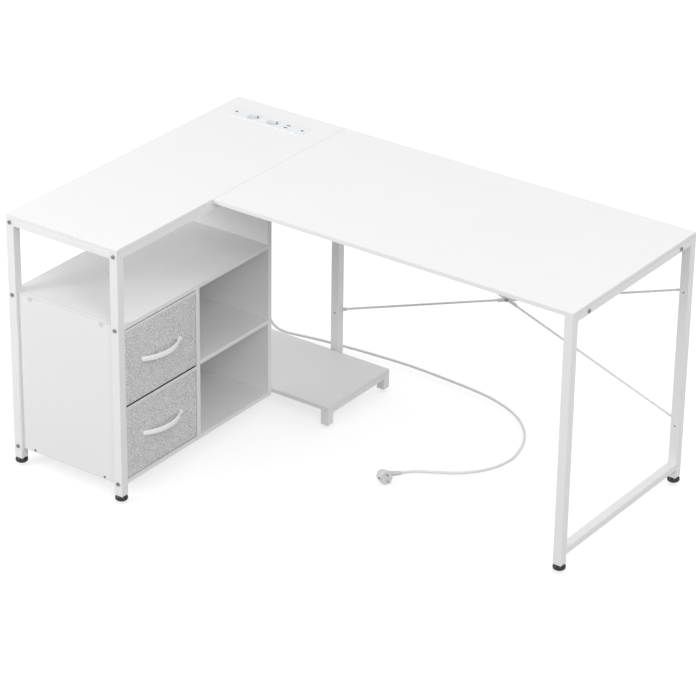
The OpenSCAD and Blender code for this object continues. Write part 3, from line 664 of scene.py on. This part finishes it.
def smooth_route(points, steps):
    """The same smooth curve through the points as the CAD model's cord, with steps pieces in each span."""
    p = [at(*q) for q in points]
    curve = []
    for i in range(len(p) - 1):
        a, b, c, d = p[max(i - 1, 0)], p[i], p[i + 1], p[min(i + 2, len(p) - 1)]
        for k in range(steps):
            t = k / steps
            bend = (2 * a - 5 * b + 4 * c - d) * t ** 2 + (3 * b - a - 3 * c + d) * t ** 3
            curve.append((2 * b + (c - a) * t + bend) / 2)
    return curve + [p[-1]]


def build_cord(route):
    curve = bpy.data.curves.new("mains_cord", "CURVE")
    curve.dimensions = "3D"
    curve.bevel_depth = CORD_DIAMETER / 2 * MM
    curve.bevel_resolution = 5
    curve.use_fill_caps = True
    spline = curve.splines.new("POLY")
    spline.points.add(len(route) - 1)
    for target, point in zip(spline.points, route):
        target.co = (*point, 1.0)
    spline.use_smooth = True
    cord = bpy.data.objects.new("mains_cord", curve)
    scene.collection.objects.link(cord)
    cord.data.materials.append(skin["cord"])
    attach(cord, "desk")
    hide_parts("cord")
    return cord


cord_route = smooth_route(CORD_POINTS, 6)
mains_cord = build_cord(cord_route)

# ---------------------------------------------------------------- plug
PLUG_FACE, PLUG_TURN, PLUG_TILT = (881.0, 502.0, 20.6), -24.0, 8.0  # the middle of its face, and degrees
PLUG_DISH = 1.1  # how deep its face is dished
PIN_OFFSET = 9.5  # from the plug's middle, and a socket's, to each pin
NOTCH_FLAT, NOTCH_HALF, NOTCH_LONG = 17.0, 3.6, 15.0  # the earth notch in each side of the plug
RELIEF_FROM, RELIEF_DROP, RELIEF_LONG = (-20.0, 8.0, 2.0), 10.0, 50.0  # start, degrees down, length
plug_place = (Matrix.Translation(at(*PLUG_FACE)) @ Matrix.Rotation(math.radians(PLUG_TURN), 4, "Z")
              @ Matrix.Rotation(math.radians(-PLUG_TILT), 4, "Y") @ Matrix.Scale(MM, 4))


def plug_shell():
    """The round plug body, with an earth notch on each side of its face."""
    stations = [(0.0, 17.2), (0.0, 18.6), (-0.5, 19.6), (-1.6, 20.0), (-4.6, 20.0), (-5.2, 19.4),
                (-6.0, 19.3), (-12.0, 18.5), (-20.0, 17.4), (-26.0, 16.5), (-28.6, 15.4), (-29.7, 13.2),
                (-30.0, 9.0), (-30.2, 0.6)]
    segments = 144
    rings = [turned_ring(plug_place, -PLUG_DISH, radius, segments) for radius in (0.5, 16.6)]
    for x, radius in stations:
        ring = []
        for k in range(segments):
            angle = 2 * math.pi * k / segments
            y, z = radius * math.cos(angle), radius * math.sin(angle)
            if abs(z) < NOTCH_HALF and x > -NOTCH_LONG and radius > NOTCH_FLAT + 0.3:
                y = math.copysign(NOTCH_FLAT - 0.1, y)
            ring.append(plug_place @ Vector((x, y, z)))
        rings.append(ring)
    return loft(rings)


def plug_relief():
    """The ribbed strain relief that leaves the plug sideways and a little downwards."""
    drop = math.radians(RELIEF_DROP)
    way = plug_place.to_3x3() @ Vector((0, math.cos(drop), -math.sin(drop)))
    return ribbed(plug_place @ Vector(RELIEF_FROM), way.normalized(), RELIEF_LONG, 8.0, 5.6, 3, 3.4)


def plug_pins():
    profile = [(0.0, 2.4), (18.6, 2.4), (19.4, 2.2), (19.9, 1.5), (20.1, 0.4)]
    return joined([revolved(profile, plug_place @ Matrix.Translation((-PLUG_DISH, 0, z)), 24)
                   for z in (-PIN_OFFSET, PIN_OFFSET)])


def earth_clip(side):
    """The sprung metal clip that stands in one earth notch."""
    section = [(-2.3, 0.0), (2.3, 0.0), (2.3, 0.45), (-2.3, 0.45)]
    rings = []
    for x, lift in ((-0.9, 0.5), (-1.4, 0.9), (-4.6, 1.1), (-6.2, 0.5)):
        out = NOTCH_FLAT + lift
        rings.append([plug_place @ Vector((x, side * (out + up), across)) for across, up in section])
    return loft(rings)


def earth_notch_shade(side):
    """A dark sheet on the floor of one earth notch: painted shade in the notch."""
    rings = []
    for x, shrink in ((-13.6, 1.2), (-12.8, 0.3), (-1.6, 0.0), (-1.0, 0.6)):
        outline = rounded_outline(6.2 - shrink, 0.8, 0.3, 3)
        rings.append([plug_place @ Vector((x, side * (NOTCH_FLAT + v), u)) for u, v in outline])
    return loft(rings)


plug = mesh_piece("mains_plug", *joined([plug_shell(), plug_relief()]), skin["plug"], "desk", "plug", 38)
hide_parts("plug_body")
pins = mesh_piece("mains_plug_pins", *plug_pins(), skin["pin"], "desk", "pin", 40)
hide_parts("plug_pins")
clips = joined([earth_clip(side) for side in (-1, 1)])
earth = mesh_piece("mains_plug_earth_clips", *clips, skin["pin"], "desk", "pin")
# the dark sheets in the earth notches are painted shade
recesses = joined([earth_notch_shade(side) for side in (-1, 1)])
recess = mesh_piece("mains_plug_earth_notch_shade", *recesses, skin["shadow"], "desk", "plug")

# ---------------------------------------------------------------- power strip details
cover_low, cover_high = box_in_mm("strip_cover")
STRIP_TOP, STRIP_Y = cover_high[2], middle(cover_low[1], cover_high[1])
SOCKET_R, SOCKET_DEEP = 19.75, 17.5
PORT_OFFSET = 8.0  # from the strip's middle line to each charging port


def middle_x(node):
    low, high = box_in_mm(node)
    return middle(low[0], high[0])


def socket_lip(x):
    """The raised rim round a socket's well."""
    lip = [(height, SOCKET_R + grow) for height, grow in
           ((0.0, 0.0), (0.5, 0.2), (0.75, 1.1), (0.5, 2.0), (-0.1, 2.3), (-0.4, 1.2))]
    steps = 72
    rings = []
    for k in range(steps + 1):
        angle = 2 * math.pi * k / steps
        rings.append([at(x + r * math.cos(angle), STRIP_Y + r * math.sin(angle), STRIP_TOP + height)
                      for height, r in lip])
    return loft(rings, closed_ends=False)


def socket_guide(x, side):
    """The rib that guides a plug, on one side of a socket's well."""
    mid_x = x + side * (SOCKET_R - 0.9)
    rings = []
    for height, width in ((-SOCKET_DEEP + 0.1, 7.0), (-2.0, 6.6), (-1.2, 5.6)):
        outline = rounded_outline(2.2, width, 0.7, 3)
        rings.append([at(mid_x + u, STRIP_Y + v, STRIP_TOP + height) for u, v in outline])
    return loft(rings)


def socket_shutter(x):
    """The dark shutter in a pin hole at the floor of a socket's well."""
    place = (Matrix.Translation(at(x, STRIP_Y, STRIP_TOP - SOCKET_DEEP + 0.05))
             @ Matrix.Rotation(math.radians(-90), 4, "Y") @ Matrix.Scale(MM, 4))
    return revolved([(-1.6, 2.5), (-0.9, 2.5), (-0.6, 2.3)], place, 24)


def port_shade_lining(x, y):
    """A dark lining in a charging port: painted shade in the port's depth."""
    rings = []
    for height, inset in ((-16.9, 0.05), (-0.5, 0.05), (-0.5, 0.55), (-16.2, 0.55)):
        outline = rounded_outline(13.2 - 2 * inset, 5.6 - 2 * inset, 0.4, 2)
        rings.append([at(x + u, y + v, STRIP_TOP + height) for u, v in outline])
    return loft(rings)


def port_tongue(x, y):
    """The contact tongue that stands in a charging port."""
    rings = []
    for height, width in ((-15.5, 10.6), (-2.2, 10.6), (-1.6, 9.8)):
        outline = rounded_outline(width, 1.7, 0.3, 2)
        rings.append([at(x + u, y + 0.9 + v, STRIP_TOP + height) for u, v in outline])
    return loft(rings)


def cord_relief():
    """The ribbed relief and its collar where the cord leaves the strip's housing."""
    low, high = box_in_mm("strip_gland")
    x, back, z = middle(low[0], high[0]), low[1], middle(low[2], high[2])
    sleeve = ribbed(at(x, back + 4, z), Vector((0, 1, 0)), 26.0, 6.6, 4.7, 4, 2.2)
    place = (Matrix.Translation(at(x, back + 2, z)) @ Matrix.Rotation(math.radians(90), 4, "Z")
             @ Matrix.Scale(MM, 4))
    collar = revolved([(0.0, 5.0), (0.05, 9.0), (3.4, 9.0), (4.0, 8.4), (4.0, 5.0)], place, 40)
    return joined([sleeve, collar])


def build_strip():
    sockets = [middle_x(node) for node in ("left_socket", "right_socket")]
    ports = [(middle_x("charging_ports"), STRIP_Y + offset) for offset in (-PORT_OFFSET, PORT_OFFSET)]
    lips = [socket_lip(x) for x in sockets]
    guides = [socket_guide(x, side) for x in sockets for side in (-1, 1)]
    mesh_piece("strip_socket_rims", *joined(lips + guides), skin["strip"], "desk", "strip", 50)
    shutters = joined([socket_shutter(x + pin) for x in sockets for pin in (-PIN_OFFSET, PIN_OFFSET)])
    mesh_piece("strip_shutters", *shutters, skin["insert"], "desk", "insert", 50)
    # the ports' dark linings are painted shade
    shade_linings = joined([port_shade_lining(x, y) for x, y in ports])
    mesh_piece("strip_port_shade_linings", *shade_linings, skin["shadow"], "desk", "strip", 50)
    tongues = joined([port_tongue(x, y) for x, y in ports])
    mesh_piece("strip_port_tongues", *tongues, skin["port_tongue"], "desk", "strip", 50)
    gland = mesh_piece("strip_cord_relief", *cord_relief(), skin["gland"], "desk", "gland", 45)
    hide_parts("strip_gland")


build_strip()

# ---------------------------------------------------------------- floor and light
FLOOR_HALF, FLOOR_DROP = 30.0, 0.0105  # the drop leaves room for the feet's full travel
FLOOR_GREY, FLOOR_GLOW = 0.5, 0.64


def build_floor():
    """A white floor that takes faint shadows and throws no diffuse light up into the desk."""
    mesh = bpy.data.meshes.new("floor")
    corners = [(x * FLOOR_HALF, y * FLOOR_HALF, 0) for x, y in ((-1, -1), (1, -1), (1, 1), (-1, 1))]
    mesh.from_pydata(corners, [], [(0, 1, 2, 3)])
    floor = bpy.data.objects.new("floor", mesh)
    scene.collection.objects.link(floor)
    floor.location.z = -FLOOR_DROP
    material = bpy.data.materials.new("floor_white")
    material.use_nodes = True
    shader = material.node_tree.nodes["Principled BSDF"]
    shader.inputs["Base Color"].default_value = (*grey(FLOOR_GREY), 1)
    shader.inputs["Roughness"].default_value = 1.0
    shader.inputs["Specular IOR Level"].default_value = 0.0
    shader.inputs["Emission Color"].default_value = (1, 1, 1, 1)
    shader.inputs["Emission Strength"].default_value = FLOOR_GLOW
    mesh.materials.append(material)
    floor.visible_diffuse = False


def area_light(name, place, size, power):
    """A round area light that faces the desk's middle."""
    lamp = bpy.data.lights.new(name, "AREA")
    lamp.shape, lamp.size, lamp.energy = "DISK", size, power
    light = bpy.data.objects.new(name, lamp)
    scene.collection.objects.link(light)
    light.location = place
    light.rotation_mode = "QUATERNION"
    aim = Vector((0, 0, 0.4)) - Vector(place)
    light.rotation_quaternion = aim.to_track_quat("-Z", "Y")


def build_world():
    """One soft white room, brighter towards the zenith and dimmer below the horizon."""
    world = bpy.data.worlds.new("studio")
    scene.world = world
    world.use_nodes = True
    tree = world.node_tree
    way = tree.nodes.new("ShaderNodeTexCoord").outputs["Generated"]
    slope = tree.nodes.new("ShaderNodeVectorMath")
    slope.operation = "DOT_PRODUCT"
    slope.inputs[1].default_value = (0.0, 0.0, 0.16)
    height = tree.nodes.new("ShaderNodeSeparateXYZ")
    dim = tree.nodes.new("ShaderNodeMapRange")
    dim.interpolation_type = "SMOOTHSTEP"
    for key, value in (("From Min", -0.2), ("From Max", 0.05), ("To Min", 0.34), ("To Max", 0.76)):
        dim.inputs[key].default_value = value
    level = tree.nodes.new("ShaderNodeMath")
    level.operation = "ADD"
    tree.links.new(way, slope.inputs[0])
    tree.links.new(way, height.inputs[0])
    tree.links.new(height.outputs["Z"], dim.inputs["Value"])
    tree.links.new(slope.outputs["Value"], level.inputs[0])
    tree.links.new(dim.outputs["Result"], level.inputs[1])
    tree.links.new(level.outputs[0], tree.nodes["Background"].inputs["Strength"])
    tree.nodes["Background"].inputs["Color"].default_value = (1, 1, 1, 1)


build_floor()
area_light("key", (-2.0, -2.9, 1.7), 1.4, 34)
area_light("front", (4.3, -3.5, 4.6), 3.0, 110)
build_world()
scene.view_settings.view_transform = "Standard"
scene.view_settings.look = "None"
